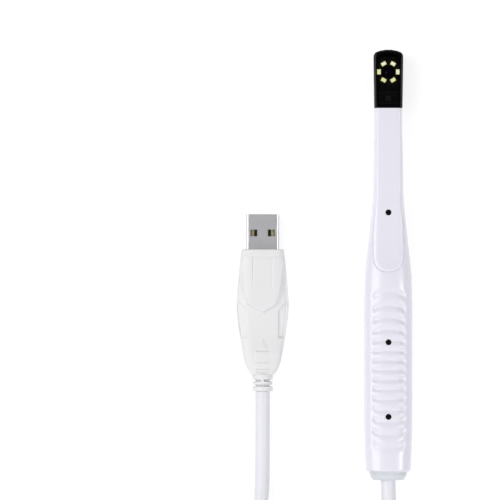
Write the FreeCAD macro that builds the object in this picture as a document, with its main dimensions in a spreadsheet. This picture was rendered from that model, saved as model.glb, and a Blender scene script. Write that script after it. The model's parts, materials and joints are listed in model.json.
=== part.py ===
"""Intraoral camera: a slim hand-held dental camera with a USB cable, in millimetres.

Frame: +Y runs along the handpiece towards the head, +Z is the way the lens looks, +X is to the
right of someone who looks at the lens face. The handpiece lies on its back on the plane z = 0,
and the origin is under the middle of its length.
"""
import FreeCAD, Part

import math
import os
import re

import Sketcher

Vector = FreeCAD.Vector
Rotation = FreeCAD.Rotation

# Driving dimensions, one spreadsheet row each: alias, value, what it is.
SIZES = (
    ("head_top", 76.8, "outer end of the head along Y"),
    ("head_joint", 56.0, "where the black head meets the white body"),
    ("tail_joint", -73.8, "where the body meets the end cap"),
    ("tail_end", -76.9, "outer face of the end cap, where the cable leaves"),
    ("wall", 1.3, "wall of the two body shells"),
    ("parting_height", 8.6, "plane where the front and rear shells meet"),
    ("head_width", 10.6, "head, side to side at its widest"),
    ("head_back", 4.1, "back face of the head"),
    ("head_front", 14.05, "flat front face of the head"),
    ("head_wall", 1.1, "wall of the head cap"),
    ("head_edge", 0.8, "rounding of the head's front edges"),
    ("head_round", 1.5, "rounding of the head's back edges"),
    ("window_thick", 1.0, "front window"),
    ("window_end", 57.2, "lower end of the front window"),
    ("window_inset", 0.8, "black rim beside the window"),
    ("lens_room_end", 62.0, "lower end of the room for the lens and the lights"),
    ("gasket_thick", 0.2, "tape under the window"),
    ("lens_place", 68.9, "lens axis along Y"),
    ("barrel_radius", 2.3, "lens barrel"),
    ("barrel_top", 12.4, "front rim of the lens barrel"),
    ("barrel_base", 7.4, "rear rim of the lens barrel"),
    ("barrel_bore", 1.6, "bore that holds the elements"),
    ("barrel_aperture", 1.1, "clear hole at the front of the barrel"),
    ("holder_width", 6.4, "square foot of the lens holder"),
    ("holder_boss", 2.7, "radius of the round boss of the lens holder"),
    ("sensor_width", 4.6, "image sensor package"),
    ("sensor_thick", 0.6, "image sensor package"),
    ("sensor_board_base", 5.6, "underside of the sensor board"),
    ("thin_board", 0.6, "thickness of the boards in the head"),
    ("led_board_base", 11.3, "underside of the light board"),
    ("led_ring", 3.35, "radius of the ring of lights"),
    ("led_count", 6, "lights in the ring"),
    ("led_length", 1.8, "light package, along the ring"),
    ("led_width", 1.3, "light package, across the ring"),
    ("led_thick", 0.65, "light package"),
    ("led_rim", 0.25, "white rim around the phosphor"),
    ("phosphor_thick", 0.3, "phosphor in each light"),
    ("screw_head", 1.02, "radius of a screw head"),
    ("screw_head_thick", 0.9, "screw head"),
    ("screw_shank", 0.7, "radius of a screw shank"),
    ("screw_length", 7.0, "case screw, under its head"),
    ("screw_sunk", 0.2, "how far a screw head lies under the face"),
    ("head_screw_place", 59.5, "screw of the head along Y"),
    ("neck_screw_place", 18.7, "case screw in the neck"),
    ("middle_screw_place", -27.6, "case screw among the ribs"),
    ("tail_screw_place", -54.2, "case screw near the tail"),
    ("boss_radius", 1.9, "posts that take the screws"),
    ("boss_top", 9.6, "where the front and rear posts meet"),
    ("rib_count", 15, "valleys across the grip"),
    ("rib_middle", -37.6, "middle valley along Y"),
    ("rib_pitch", 3.45, "distance between the middle valleys"),
    ("rib_spread", 0.011, "how the valleys draw apart towards the ends"),
    ("rib_bow", 0.2, "bow of each valley, per valley from the middle"),
    ("rib_reach", 5.3, "half width at which the bow is measured"),
    ("rib_radius", 1.25, "round bottom of a valley"),
    ("rib_depth", 0.42, "depth of a valley"),
    ("board_base", 7.2, "underside of the main board"),
    ("board_thick", 1.0, "main board"),
    ("board_half", 5.8, "half width of the main board in the grip"),
    ("board_neck_half", 4.2, "half width of the main board in the neck"),
    ("board_tail", -49.0, "main board, cable end"),
    ("board_step", 3.0, "main board, where it narrows"),
    ("board_top_end", 15.6, "main board, head end"),
    ("button_place", 9.5, "capture button along Y"),
    ("button_length", 10.6, "capture button along Y"),
    ("button_width", 5.2, "capture button across"),
    ("button_gap", 0.2, "clearance around the button in its opening"),
    ("button_stands", 0.35, "how far the button stands out of the back"),
    ("flange_base", 3.4, "retaining flange of the button"),
    ("flange_thick", 0.5, "retaining flange of the button"),
    ("plunger_radius", 1.15, "plunger of the switch"),
    ("switch_width", 5.0, "push switch"),
    ("switch_thick", 2.5, "push switch"),
    ("flex_thick", 0.3, "flat flexible cable to the head"),
    ("flex_base", 8.7, "underside of the flexible cable"),
    ("flex_half", 2.3, "half width of the flexible cable"),
    ("cable_radius", 2.65, "jacket of the USB cable"),
    ("cable_height", 8.4, "cable axis where it leaves the handpiece"),
    ("grommet_radius", 3.6, "soft bush around the cable"),
    ("cap_width", 13.7, "end cap at the body"),
    ("cap_thick", 12.6, "end cap at the body, front to back"),
    ("cap_small_width", 10.7, "end cap at its outer face"),
    ("cap_small_thick", 9.8, "end cap at its outer face, front to back"),
    ("spigot_radius", 4.6, "spigot of the end cap, and flange of the bush"),
    ("jacket_inside", 16.0, "cable jacket inside the handle"),
    ("wire_radius", 0.42, "insulated wires in the handle"),
    ("plug_place", -44.9, "axis of the plug across"),
    ("plug_height", 4.35, "axis of the plug above the surface"),
    ("plug_tip", 18.1, "open end of the plug shell"),
    ("plug_mouth", 5.6, "where the shell enters its cover"),
    ("plug_root", -4.0, "hidden end of the shell, in the cover"),
    ("shell_width", 12.0, "USB type A shell"),
    ("shell_thick", 4.5, "USB type A shell"),
    ("shell_sheet", 0.32, "sheet metal of the shell"),
    ("shell_corner", 0.95, "outer corner of the shell"),
    ("window_side", 2.4, "square windows of the shell"),
    ("window_apart", 3.1, "each window from the middle of the shell"),
    ("window_place", 11.4, "windows along Y"),
    ("tongue_thick", 1.8, "insulator in the shell"),
    ("cover_end", -39.4, "where the plug cover meets its boot"),
    ("boot_end", -45.2, "where the cable leaves the boot"),
    ("boot_radius", 3.7, "ribbed boot of the plug"),
    ("turn_pitch", 5.45, "distance between turns of the coil"),
    ("coil_radius", 29.0, "middle of the coil's turns"),
    ("coil_across", -22.5, "middle of the coil across"),
    ("coil_along", -131.0, "middle of the coil along Y"),
    ("coil_columns", 4, "turns side by side"),
    ("coil_layers", 3, "turns on each other"),
    ("coil_lift", 0.8, "strap under the coil"),
    ("tie_width", 11.0, "strap of the coil"),
)

# Sections of the body: place along Y, half width, back, crown of the front.
BODY_STATIONS = (
    (56.0, 5.05, 4.1, 15.25), (48, 5.06, 3.95, 15.27), (40, 5.22, 3.6, 15.3), (32, 5.37, 3.15, 15.35),
    (25, 5.48, 2.6, 15.42), (19, 5.95, 2.05, 15.5), (13.5, 6.55, 1.5, 15.6), (7.5, 7.18, 0.9, 15.75),
    (1.5, 7.9, 0.35, 16.0), (-5, 8.43, -0.1, 16.45), (-12, 8.63, -0.35, 16.6), (-22, 8.65, -0.35, 16.6),
    (-32, 8.65, -0.35, 16.6), (-43, 8.65, -0.35, 16.6), (-54, 8.64, -0.35, 16.6), (-62, 8.5, -0.3, 16.52),
    (-68, 8.28, -0.1, 16.35), (-73.8, 8.0, 0.5, 16.05),
)
# Side view of the flat that runs from the head into the handle: place along Y, height.
FLAT_LINE = (
    (-1.9, 16.35), (1.5, 15.62), (5.5, 15.14), (12, 14.8), (20, 14.58), (32, 14.38), (44, 14.2),
    (56.0, 14.05),
)
# Sections of the plug cover: place along Y, half width, back, front.
COVER_STATIONS = (
    (5.6, 7.55, 0.6, 8.1), (2, 8.05, 0.4, 8.3), (-5, 8.68, 0.1, 8.55), (-11, 9.18, 0.04, 8.62),
    (-15.2, 9.35, 0.03, 8.65), (-20, 8.95, 0.04, 8.6), (-25, 8.22, 0.07, 8.52), (-30, 7.42, 0.12, 8.45),
    (-34.0, 6.65, 0.2, 8.4), (-36.9, 5.75, 0.3, 8.36), (-39.4, 4.15, 0.6, 8.1),
)
SUPERELLIPSE_BODY = 3.0
SUPERELLIPSE_COVER = 4.2
SUPERELLIPSE_CAP = 2.6
SECTION_POINTS = 32

document = FreeCAD.newDocument("IntraoralCamera")
sheet = document.addObject("Spreadsheet::Sheet", "Sizes")
for row, (alias, number, meaning) in enumerate(SIZES, start=1):
    sheet.set(f"A{row}", meaning)
    sheet.set(f"B{row}", str(number))
    sheet.setAlias(f"B{row}", alias)
document.recompute()

nodes = []


def bound(formula):
    """A formula of plain aliases, written as an expression on the spreadsheet."""
    return re.sub(r"\b([a-z][a-z_]+)\b(?!\()", r"Sizes.\1", str(formula))


def value(formula):
    return float(sheet.evalExpression(bound(formula)))


def bind(piece, **formulas):
    for name, formula in formulas.items():
        piece.setExpression(name, bound(formula))
    return piece


def put(piece, place, turn=None):
    """Give a piece its place from three formulas, and its turn."""
    piece.Placement = FreeCAD.Placement(Vector(), turn or Rotation())
    for axis, formula in zip("xyz", place):
        piece.setExpression(f".Placement.Base.{axis}", bound(formula))
    return piece


def node(piece, label):
    """Name a finished sub-part; each one becomes a file."""
    piece.Label = label
    nodes.append(piece)
    return piece


def box(name, size, middle, base):
    """A block from its three sizes, centred on middle (x, y), with its underside at base."""
    piece = document.addObject("Part::Box", name)
    bind(piece, Length=size[0], Width=size[1], Height=size[2])
    return put(piece, (f"{middle[0]} - ({size[0]}) / 2", f"{middle[1]} - ({size[1]}) / 2", base))


def cylinder(name, radius, height, place, turn=None):
    piece = document.addObject("Part::Cylinder", name)
    bind(piece, Radius=radius, Height=height)
    return put(piece, place, turn)


def cut(name, base, *tools):
    for number, tool in enumerate(tools):
        piece = document.addObject("Part::Cut", f"{name}_cut_{number}")
        piece.Base = base
        piece.Tool = tool
        base = piece
    return base


def fuse(name, *pieces):
    piece = document.addObject("Part::MultiFuse", f"{name}_fuse")
    piece.Shapes = list(pieces)
    return piece


def group(name, pieces):
    """Several separate solids that are one node."""
    piece = document.addObject("Part::Compound", f"{name}_group")
    piece.Links = list(pieces)
    return piece


def origin_plane(body, role):
    return next(feature for feature in body.Origin.OriginFeatures if feature.Role == role)


def pin(sketch, edge, point, x, y):
    """Hold one point of a sketch at two formulas."""
    for kind, axis, formula in (("DistanceX", -2, x), ("DistanceY", -1, y)):
        number = value(formula)
        if abs(number) < 1e-9:
            sketch.addConstraint(Sketcher.Constraint("PointOnObject", edge, point, axis))
        else:
            held = sketch.addConstraint(Sketcher.Constraint(kind, -1, 1, edge, point, number))
            sketch.setExpression(f"Constraints[{held}]", bound(formula))


def polygon_sketch(body, name, corners, role):
    """A closed outline whose corners are pairs of formulas, on an origin plane of the body."""
    sketch = body.newObject("Sketcher::SketchObject", name)
    sketch.AttachmentSupport = [(origin_plane(body, role), "")]
    sketch.MapMode = "FlatFace"
    spots = [Vector(value(x), value(y), 0) for x, y in corners]
    count = len(spots)
    for number in range(count):
        sketch.addGeometry(Part.LineSegment(spots[number], spots[(number + 1) % count]))
    for number in range(count):
        sketch.addConstraint(Sketcher.Constraint("Coincident", number, 2, (number + 1) % count, 1))
    for number, (x, y) in enumerate(corners):
        pin(sketch, number, 1, x, y)
    return sketch


def turned(name, profile, place, turn=None):
    """A PartDesign revolution of (radius, height) corners about its own Z axis."""
    body = document.addObject("PartDesign::Body", name)
    sketch = polygon_sketch(body, f"{name}_profile", profile, "XZ_Plane")
    feature = body.newObject("PartDesign::Revolution", f"{name}_turned")
    feature.Profile = sketch
    feature.ReferenceAxis = (sketch, ["V_Axis"])
    feature.Angle = 360
    document.recompute()
    return put(body, place, turn)


def plate(name, corners, thickness, place, round_radius=None):
    """A PartDesign pad of an outline on XY, with its upright edges rounded if asked."""
    body = document.addObject("PartDesign::Body", name)
    sketch = polygon_sketch(body, f"{name}_outline", corners, "XY_Plane")
    feature = body.newObject("PartDesign::Pad", f"{name}_pad")
    feature.Profile = sketch
    bind(feature, Length=thickness)
    document.recompute()
    if round_radius:
        upright = [
            f"Edge{number}" for number, edge in enumerate(feature.Shape.Edges, start=1)
            if abs(edge.Vertexes[0].Z - edge.Vertexes[-1].Z) > 1e-6
        ]
        rounding = body.newObject("PartDesign::Fillet", f"{name}_rounding")
        rounding.Base = (feature, upright)
        bind(rounding, Radius=round_radius)
        document.recompute()
    return put(body, place)


def rectangle(half_width, low, high):
    return ((f"-({half_width})", low), (half_width, low), (half_width, high), (f"-({half_width})", high))


def shaped(name, shape):
    """A free-form solid that neither primitives nor sketches describe."""
    piece = document.addObject("Part::Feature", name)
    piece.Shape = shape
    piece.Placement = FreeCAD.Placement()
    return piece


def section(along, half_width, back, front, power, across=0.0):
    """A closed superellipse across the Y axis."""
    middle = (back + front) / 2
    half_height = (front - back) / 2
    points = []
    for step in range(SECTION_POINTS):
        angle = 2 * math.pi * step / SECTION_POINTS
        side, rise = math.cos(angle), math.sin(angle)
        points.append(Vector(
            across + half_width * math.copysign(abs(side) ** (2 / power), side),
            along,
            middle + half_height * math.copysign(abs(rise) ** (2 / power), rise),
        ))
    curve = Part.BSplineCurve()
    curve.interpolate(points, PeriodicFlag=True)
    return Part.Wire([curve.toShape()])


def lofted(stations, power, across=0.0):
    return Part.makeLoft([section(*station, power, across) for station in stations], True, False)


def slab_above(line, reach, top):
    """Everything above a smooth line of (along, height) points, as a block out to reach each way."""
    spots = [Vector(-reach, along, height) for along, height in line]
    curve = Part.BSplineCurve()
    curve.interpolate(spots)
    up_first = Vector(-reach, line[0][0], top)
    up_last = Vector(-reach, line[-1][0], top)
    edges = [
        curve.toShape(),
        Part.LineSegment(spots[-1], up_last).toShape(),
        Part.LineSegment(up_last, up_first).toShape(),
        Part.LineSegment(up_first, spots[0]).toShape(),
    ]
    return Part.Face(Part.Wire(edges)).extrude(Vector(2 * reach, 0, 0))


def flat_height(along):
    """Height of the front face at a place along Y: the flat, or the crown of the grip."""
    if along < FLAT_LINE[0][0]:
        return max(station[3] for station in BODY_STATIONS)
    for (near, low), (far, high) in zip(FLAT_LINE, FLAT_LINE[1:]):
        if near <= along <= far:
            return low + (high - low) * (along - near) / (far - near)
    return FLAT_LINE[-1][1]


# ---------------------------------------------------------------- body shells

def body_outside():
    solid = lofted(BODY_STATIONS, SUPERELLIPSE_BODY)
    line = ((-6.0, 17.9),) + FLAT_LINE + ((60.0, 14.0),)
    solid = solid.cut(slab_above(line, 12, 22))
    return solid.common(Part.makeBox(40, 200, 40, Vector(-20, -100, 0)))


def body_inside():
    wall = value("wall")
    stations = []
    for along, half_width, back, front in BODY_STATIONS:
        ceiling = min(front, flat_height(along)) - wall
        stations.append((along, half_width - wall, max(back, 0) + wall, ceiling))
    first = stations[0]
    stations.insert(0, (first[0] + 6, *first[1:]))
    stations[-1] = (value("tail_joint") + wall, *stations[-1][1:])
    return lofted(stations, SUPERELLIPSE_BODY)


def screw_places():
    return [value(name) for name in ("neck_screw_place", "middle_screw_place", "tail_screw_place")]


def front_at(along):
    """Front face at the middle of the body, on a rib valley where there is one."""
    if along > FLAT_LINE[0][0]:
        return flat_height(along)
    return flat_height(along) - value("rib_depth")


def post(radius, along, base, top):
    return Part.makeCylinder(radius, top - base, Vector(0, along, base))


def rib_valleys():
    """Round-bottomed valleys across the grip, bowed more the further they are from the middle."""
    radius = value("rib_radius")
    height = flat_height(-30) - value("rib_depth") + radius
    reach = value("rib_reach") + 3.0
    valleys = []
    for number in range(int(value("rib_count"))):
        steps = number - (value("rib_count") - 1) / 2
        along = value("rib_middle") + value("rib_pitch") * steps + value("rib_spread") * steps ** 3
        bow = value("rib_bow") * steps * (reach / value("rib_reach")) ** 2 * 0.85
        ends = [Vector(side * reach, along - bow, height) for side in (-1, 1)]
        middle = Vector(0, along, height)
        if abs(bow) < 0.05:
            path = Part.LineSegment(ends[0], ends[1]).toShape()
        else:
            path = Part.Arc(ends[0], middle, ends[1]).toShape()
        tangent = path.tangentAt(path.FirstParameter)
        ring = Part.Wire([Part.Circle(ends[0], tangent, radius).toShape()])
        valleys.append(Part.Wire([path]).makePipeShell([ring], True, False))
    return valleys


def button_prism(grow, base, top):
    """The stadium of the capture button, grown all round."""
    half_width = value("button_width") / 2 + grow
    half_run = value("button_length") / 2 - value("button_width") / 2
    along = value("button_place")
    middle = Part.makeBox(
        2 * half_width, 2 * half_run, top - base, Vector(-half_width, along - half_run, base))
    ends = [
        Part.makeCylinder(half_width, top - base, Vector(0, along + side * half_run, base))
        for side in (-1, 1)
    ]
    return middle.fuse(ends).removeSplitter()


def make_body_shells(outside):
    inside = body_inside()
    shell = outside.cut(inside)
    parting = value("parting_height")
    reach = Part.makeBox(40, 200, 40, Vector(-20, -100, parting))
    front = shell.common(reach)
    rear = shell.cut(reach)
    boss, boss_top = value("boss_radius"), value("boss_top")
    wall = value("wall")
    for along in screw_places():
        ceiling = flat_height(along) - wall / 2
        front = front.fuse(post(boss, along, boss_top, ceiling))
        rear = rear.fuse(post(boss, along, wall / 2 + max(0, 0.1 * along), boss_top))
    for along in screw_places():
        top = front_at(along) - value("screw_sunk") - value("screw_head_thick") - 0.01
        front = front.cut(post(value("screw_head") + 0.06, along, top, 20))
        front = front.cut(post(value("screw_shank") + 0.05, along, 0, 20))
        rear = rear.cut(post(value("screw_shank") + 0.05, along, 4.5, 20))
    for valley in rib_valleys():
        front = front.cut(valley)
    for side in (-1, 1):
        for along in (-44.0, 0.0):
            stud = Part.makeCylinder(
                1.0, value("board_base") - wall / 2, Vector(side * 3.6, along, wall / 2))
            rear = rear.fuse(stud)
    rear = rear.cut(button_prism(value("button_gap"), -1, 4.4))
    bore = Part.makeCylinder(
        value("spigot_radius") + 0.02, 6, Vector(0, -78, value("cable_height")), Vector(0, 1, 0))
    front = front.cut(bore)
    rear = rear.cut(bore)
    node(shaped("front_shell", front), "front_shell")
    node(shaped("rear_shell", rear), "rear_shell")


# ---------------------------------------------------------------- head

def head_outline(inset, low):
    """Half corners of the head seen from the front, mirrored: a slight taper and a bowed end."""
    half = f"(head_width / 2 - ({inset}))"
    end = f"(head_top - ({inset}))"
    right = (
        (f"{half} - (head_joint + 18 - ({low})) * 0.0144", low),
        (half, "head_joint + 18"),
        (f"{half} - 0.12", f"{end} - 1.75"),
        (f"{half} - 0.75", f"{end} - 0.95"),
        (f"{half} - 2.2", f"{end} - 0.38"),
        (f"{half} * 0.2", end),
    )
    left = tuple((f"-({x})", y) for x, y in reversed(right))
    return right + left


def rounded_block(name, corners, thickness, place):
    """The head's outer block, with its back edges and front edges rounded."""
    body = document.addObject("PartDesign::Body", name)
    sketch = polygon_sketch(body, f"{name}_outline", corners, "XY_Plane")
    feature = body.newObject("PartDesign::Pad", f"{name}_pad")
    feature.Profile = sketch
    bind(feature, Length=thickness)
    document.recompute()
    foot = value("head_joint")
    for word, height, radius in (
        ("back", 0.0, "head_round"),
        ("front", value(thickness), "head_edge"),
    ):
        base = body.Tip
        rims = [
            f"Edge{number}" for number, edge in enumerate(base.Shape.Edges, start=1)
            if all(abs(corner.Z - height) < 1e-6 for corner in edge.Vertexes)
            and not all(abs(corner.Y - foot) < 1e-6 for corner in edge.Vertexes)
        ]
        rounding = body.newObject("PartDesign::Fillet", f"{name}_{word}_rounding")
        rounding.Base = (base, rims)
        bind(rounding, Radius=radius)
        document.recompute()
    return put(body, place)


def make_head_cap():
    block = rounded_block(
        "head_block", head_outline("0", "head_joint"), "head_front - head_back", ("0", "0", "head_back"))
    cavity = plate(
        "head_cavity", head_outline("head_wall", "head_joint - 1"), "head_front - head_back - 1.1",
        ("0", "0", "head_back + 1.1"))
    roof = box("head_roof", ("head_width - 2", "lens_room_end - head_joint + 2", "2.3"),
               ("0", "(lens_room_end + head_joint) / 2 - 1"), "head_front - 2.3")
    opened = cut("head_opened", block, cut("head_room", cavity, roof))
    recess = plate(
        "window_recess", head_outline("window_inset", "window_end"), "window_thick + gasket_thick + 1",
        ("0", "0", "head_front - window_thick - gasket_thick"))
    hole = cylinder("head_screw_hole", "screw_shank + 0.05", "4",
                    ("0", "head_screw_place", "head_front - 3"))
    sink = cylinder("head_screw_sink", "screw_head + 0.06", "2",
                    ("0", "head_screw_place", "head_front - screw_sunk - screw_head_thick - 0.01"))
    node(cut("head_cap", opened, recess, hole, sink), "head_cap")


def make_head_front():
    window = plate(
        "window", head_outline("window_inset + 0.04", "window_end + 0.04"), "window_thick - 0.05",
        ("0", "0", "head_front - window_thick"))
    window_hole = cylinder("window_hole", "screw_head + 0.08", "3",
                           ("0", "head_screw_place", "head_front - 2"))
    node(cut("head_window", window, window_hole), "head_window")
    tape = plate("tape", head_outline("window_inset + 0.05", "window_end + 0.05"), "gasket_thick",
                 ("0", "0", "head_front - window_thick - gasket_thick"))
    clear = plate("tape_clear", head_outline("head_wall + 0.1", "lens_room_end + 0.1"), "1",
                  ("0", "0", "head_front - window_thick - 0.6"))
    tape_hole = cylinder("tape_hole", "screw_head + 0.08", "3", ("0", "head_screw_place", "head_front - 2"))
    node(cut("window_gasket", tape, clear, tape_hole), "window_gasket")


def make_head_frame():
    """The core that plugs into the neck and that the head cap is screwed to."""
    spigot = box("spigot", ("5.8", "12", "5.4"), ("0", "head_joint - 5.9"), "6.3")
    core = plate("core", rectangle("3.7", "head_joint + 0.1", "lens_room_end - 0.2"), "6.2",
                 ("0", "0", "head_back + 1.2"), "0.8")
    slot = box("flex_slot", ("2 * flex_half + 0.5", "30", "flex_thick + 0.5"), ("0", "head_joint"),
               "flex_base - 0.25")
    pilot = cylinder("head_screw_pilot", "screw_shank + 0.02", "3.2", ("0", "head_screw_place", "9.6"))
    node(cut("head_frame", fuse("head_frame", spigot, core), slot, pilot), "head_frame")


def make_screws():
    """Case screws and the head screw, each with a cross recess."""
    def screw(name, along, top, length):
        head = cylinder(f"{name}_head", "screw_head", "screw_head_thick",
                        ("0", along, f"{top} - screw_head_thick"))
        shank = cylinder(f"{name}_shank", "screw_shank", length,
                         ("0", along, f"{top} - screw_head_thick - {length}"))
        bars = [
            box(f"{name}_slot_{number}", size, ("0", along), f"{top} - 0.4")
            for number, size in enumerate((("1.2", "0.3", "0.5"), ("0.3", "1.2", "0.5")))
        ]
        return cut(name, fuse(name, head, shank), *bars)

    case = []
    for name in ("neck_screw", "middle_screw", "tail_screw"):
        along = f"{name}_place"
        top = round(front_at(value(along)) - value("screw_sunk"), 3)
        case.append(screw(name, along, str(top), "screw_length"))
    node(group("case_screws", case), "case_screws")
    node(screw("head_screw", "head_screw_place", "head_front - screw_sunk", "3.0"), "head_screw")


def make_lens():
    axis = ("0", "lens_place", "0")
    node(turned("barrel", (
        ("barrel_bore", "barrel_base"), ("barrel_radius", "barrel_base"), ("barrel_radius", "barrel_top"),
        ("barrel_aperture + 0.5", "barrel_top"), ("barrel_aperture", "barrel_top - 0.35"),
        ("barrel_bore", "barrel_top - 0.35"),
    ), axis), "lens_barrel")
    node(turned("front_glass", (
        ("0", "barrel_top - 1.5"), ("barrel_bore - 0.02", "barrel_top - 1.5"),
        ("barrel_bore - 0.02", "barrel_top - 0.75"), ("barrel_aperture + 0.1", "barrel_top - 0.5"),
        ("0.6", "barrel_top - 0.4"), ("0", "barrel_top - 0.37"),
    ), axis), "lens_front_element")
    node(turned("spacer", (
        ("barrel_bore - 0.4", "barrel_top - 3.0"), ("barrel_bore - 0.02", "barrel_top - 3.0"),
        ("barrel_bore - 0.02", "barrel_top - 1.55"), ("barrel_bore - 0.4", "barrel_top - 1.55"),
    ), axis), "lens_spacer")
    node(turned("rear_glass", (
        ("0", "barrel_base + 0.7"), ("0.8", "barrel_base + 0.8"), ("barrel_bore - 0.02", "barrel_base + 1.0"),
        ("barrel_bore - 0.02", "barrel_top - 3.05"), ("0", "barrel_top - 3.05"),
    ), axis), "lens_rear_element")
    foot = box("holder_foot", ("holder_width", "holder_width", "2"), ("0", "lens_place"),
               "sensor_board_base + thin_board")
    boss = cylinder("holder_boss", "holder_boss", "led_board_base - sensor_board_base - thin_board",
                    ("0", "lens_place", "sensor_board_base + thin_board"))
    bore = cylinder("holder_bore", "barrel_radius + 0.02", "6", ("0", "lens_place", "barrel_base - 0.1"))
    light_way = cylinder("holder_light_way", "1.4", "3", ("0", "lens_place", "6"))
    room = box("holder_room", ("sensor_width + 0.3", "sensor_width + 0.3", "sensor_thick + 0.45"),
               ("0", "lens_place"), "sensor_board_base + thin_board")
    node(cut("lens_holder", fuse("holder", foot, boss), bore, light_way, room), "lens_holder")
    node(box("infrared_filter", ("3.2", "3.2", "0.25"), ("0", "lens_place"),
             "sensor_board_base + thin_board + sensor_thick + 0.15"), "ir_filter")
    node(box("sensor", ("sensor_width", "sensor_width", "sensor_thick"), ("0", "lens_place"),
             "sensor_board_base + thin_board"), "image_sensor")
    node(box("head_board", ("7.2", "10.4", "thin_board"), ("0", "lens_place - 0.5"), "sensor_board_base"),
         "sensor_board")


def make_lights():
    board = plate("light_board", rectangle("3.9", "lens_room_end + 0.12", "lens_place + 5.3"),
                  "thin_board", ("0", "0", "led_board_base"), "0.8")
    hole = cylinder("light_board_hole", "barrel_radius + 0.06", "3",
                    ("0", "lens_place", "led_board_base - 1"))
    node(cut("led_board", board, hole), "led_board")
    node(turned("baffle", (
        ("barrel_radius + 0.06", "led_board_base + thin_board"),
        ("barrel_radius + 0.3", "led_board_base + thin_board"),
        ("barrel_radius + 0.3", "barrel_top + 0.3"), ("barrel_radius + 0.06", "barrel_top + 0.3"),
    ), ("0", "lens_place", "0")), "light_baffle")
    phosphors = []
    for number in range(int(value("led_count"))):
        angle = math.radians(360 * number / value("led_count"))
        turn = Rotation(Vector(0, 0, 1), math.degrees(angle) - 90)
        across, along = math.cos(angle), math.sin(angle)

        def laid(name, length, width, thick, base):
            """A small block centred on the ring, its long side along the ring."""
            piece = document.addObject("Part::Box", name)
            bind(piece, Length=length, Width=width, Height=thick)
            # The block starts at its own corner, so it is turned about that corner.
            inner = f"led_ring - ({width}) / 2"
            return put(piece, (
                f"{across:.6f} * ({inner}) - {along:.6f} * ({length}) / 2",
                f"lens_place + {along:.6f} * ({inner}) + {across:.6f} * ({length}) / 2",
                base,
            ), turn)

        base = "led_board_base + thin_board"
        package = laid(f"led_package_{number}", "led_length", "led_width", "led_thick", base)
        well = laid(f"led_well_{number}", "led_length - 2 * led_rim", "led_width - 2 * led_rim", "1",
                    f"{base} + led_thick - phosphor_thick")
        node(cut(f"led_{number + 1}", package, well), f"led_{number + 1}")
        phosphors.append(laid(f"phosphor_{number}", "led_length - 2 * led_rim", "led_width - 2 * led_rim",
                              "phosphor_thick", f"{base} + led_thick - phosphor_thick"))
    node(group("led_phosphors", phosphors), "led_phosphors")


# ---------------------------------------------------------------- electronics in the handle

def make_boards():
    corners = (
        ("-board_half", "board_tail"), ("board_half", "board_tail"), ("board_half", "board_step"),
        ("board_neck_half", "board_step + 3"), ("board_neck_half", "board_top_end"),
        ("-board_neck_half", "board_top_end"), ("-board_neck_half", "board_step + 3"),
        ("-board_half", "board_step"),
    )
    board = plate("board", corners, "board_thick", ("0", "0", "board_base"))
    hole = cylinder("board_hole", "boss_radius + 0.2", "3", ("0", "middle_screw_place", "board_base - 1"))
    node(cut("main_board", board, hole), "main_board")
    top = "board_base + board_thick"
    node(box("controller", ("7", "7", "0.9"), ("0", "-13"), top), "usb_controller")
    node(box("crystal_can", ("3.2", "2.5", "0.8"), ("-3", "-20.5"), top), "crystal")
    node(box("regulator", ("3", "3.4", "1.1"), ("3.2", "-36"), top), "voltage_regulator")
    chips = []
    for number, (across, along) in enumerate(
            ((-5, -9), (-5, -13), (-5, -17), (5, -9), (5, -13), (5, -17), (3, -20.5),
             (-2, -36), (-3.6, -36))):
        chips.append(box(f"capacitor_{number}", ("0.8", "1.6", "0.8"), (str(across), str(along)), top))
    node(group("board_capacitors", chips), "board_capacitors")
    node(box("flex_socket", ("7.2", "2.6", "0.5"), ("0", "13.4"), top), "flex_connector")
    node(box("header", ("9.6", "4", "2.4"), ("0", "board_tail + 2.1"), top), "wire_header")
    node(box("crimp_plug", ("9.2", "2.9", "2.0"), ("0", "board_tail - 1.55"), f"{top} + 0.2"), "wire_plug")


def make_head_flex():
    """The flat cable from the main board, around the neck post, to the sensor board."""
    run = box("flex_run", ("2 * flex_half", "40", "flex_thick"), ("0", "43.3"), "flex_base")
    wide = box("flex_wide", ("8", "11.2", "flex_thick"), ("0", "17.8"), "flex_base")
    drop = box("flex_drop", ("2 * flex_half", "flex_thick", "flex_base + flex_thick - 6.2"),
               ("0", "63.45"), "6.2")
    foot = box("flex_foot", ("2 * flex_half", "1.6", "flex_thick"), ("0", "64.1"), "6.2")
    hole = cylinder("flex_hole", "boss_radius + 0.2", "3", ("0", "neck_screw_place", "flex_base - 1"))
    node(cut("head_flex", fuse("head_flex", run, wide, drop, foot), hole), "head_flex")


def make_switch():
    switch_base = "board_base - switch_thick"
    housing = box("switch_case", ("switch_width", "switch_width", "switch_thick"),
                  ("0", "button_place"), switch_base)
    well = cylinder("switch_well", "plunger_radius + 0.1", "1.4",
                    ("0", "button_place", f"{switch_base} - 0.1"))
    node(cut("switch_housing", housing, well), "switch_housing")
    node(cylinder("plunger", "plunger_radius", f"{switch_base} + 0.8 - (flange_base + flange_thick)",
                  ("0", "button_place", "flange_base + flange_thick")), "switch_plunger")


def make_button(outside):
    """The button: a stadium that follows the curve of the back, and a flange that keeps it in."""
    lowered = outside.copy()
    lowered.translate(Vector(0, 0, -value("button_stands")))
    flange_top = value("flange_base") + value("flange_thick")
    stem = button_prism(0, -2, flange_top).common(lowered)
    half_width = value("button_width") / 2
    run = value("button_length") + 1.8
    flange = Part.makeBox(
        2 * half_width, run, value("flange_thick"),
        Vector(-half_width, value("button_place") - run / 2, value("flange_base")))
    node(shaped("button_cap", stem.fuse(flange).removeSplitter()), "button_cap")


# ---------------------------------------------------------------- tail of the handpiece

TOWARDS_TAIL = Rotation(Vector(1, 0, 0), 90)


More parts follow.
